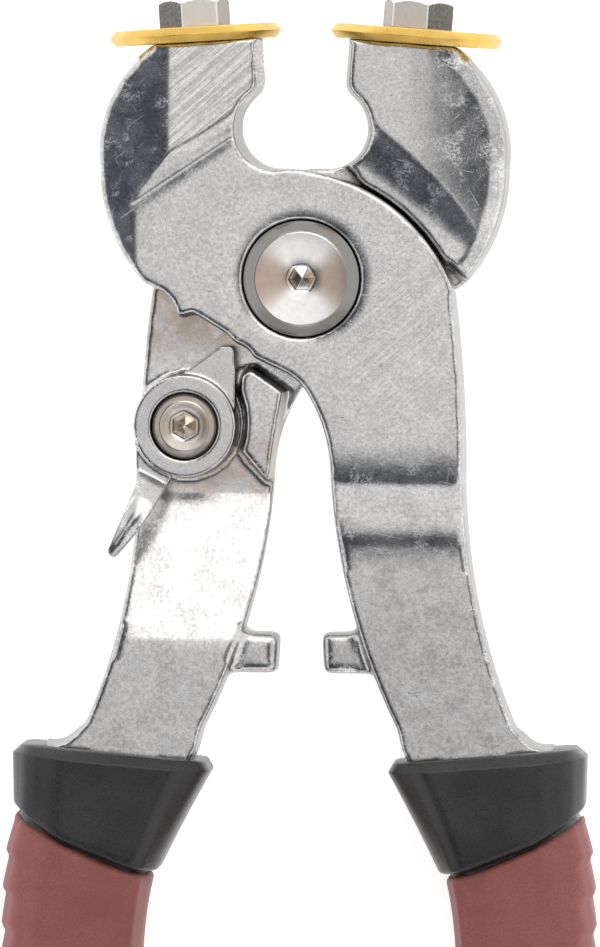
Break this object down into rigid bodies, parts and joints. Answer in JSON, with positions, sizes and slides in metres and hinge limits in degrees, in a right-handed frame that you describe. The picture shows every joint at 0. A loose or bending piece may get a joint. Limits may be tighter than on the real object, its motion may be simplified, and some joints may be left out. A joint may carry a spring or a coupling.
{
  "type": "wheeled glass nippers",
  "caption": "Hand nippers with two crossing cast halves, a replaceable carbide wheel on each jaw, a lock lever and rubber grips.",
  "frame": {"origin": "middle of the tool's outline, on the plane that it lies on", "axes": "+Y from the grips to the jaws, +Z out of the side with the lock lever, +X to the right seen from that side"},
  "size_m": [0.0778, 0.2046, 0.022],
  "materials": {
    "cast_steel": "bare cast and tumbled, bright on the edges",
    "turned_steel": "faced on a lathe, satin",
    "gold_carbide": "gold coloured hard coating, satin",
    "nickel": "nickel plate, semi-bright",
    "lever_steel": "cast and shot-blasted",
    "spring_steel": "oiled",
    "black_plastic": "fine grained",
    "maroon_rubber": "matte"
  },
  "bodies": {
    "fixed_half": {"rear_half": "cast_steel", "pivot_screw": "turned_steel", "pivot_nut": "turned_steel", "front_pivot_washer": "spring_steel", "rear_pivot_washer": "spring_steel", "lap_washer": "spring_steel", "torsion_spring": "spring_steel", "lever_screw": "turned_steel", "lever_bush": "turned_steel", "lever_wave_washer": "spring_steel", "right_wheel_bolt": "nickel", "left_handle_core": "black_plastic", "left_grip": "maroon_rubber"},
    "moving_half": {"front_half": "cast_steel", "left_wheel_bolt": "nickel", "right_handle_core": "black_plastic", "right_grip": "maroon_rubber"},
    "lever": {"lock_lever": "lever_steel"},
    "left_cutter": {"left_wheel": "gold_carbide"},
    "right_cutter": {"right_wheel": "gold_carbide"}
  },
  "joints": [
    {"name": "main_pivot", "type": "hinge", "parent": "fixed_half", "child": "moving_half", "pos_m": [0, 0.0668, 0.011], "axis": [0, 0, 1], "range_deg": [-6.4, 1.8], "stiffness_Nm_per_rad": 2, "deforming": ["torsion_spring"]},
    {"name": "lever_turn", "type": "hinge", "parent": "fixed_half", "child": "lever", "pos_m": [-0.0148, 0.0479, 0.015], "axis": [0, 0, 1], "range_deg": [0, 60]},
    {"name": "left_wheel_turn", "type": "hinge", "parent": "moving_half", "child": "left_cutter", "pos_m": [-0.0141, 0.09765, 0.011], "axis": [-0.068, 0.9977, 0], "continuous": true},
    {"name": "right_wheel_turn", "type": "hinge", "parent": "fixed_half", "child": "right_cutter", "pos_m": [0.0141, 0.09765, 0.011], "axis": [0.068, 0.9977, 0], "continuous": true}
  ]
}
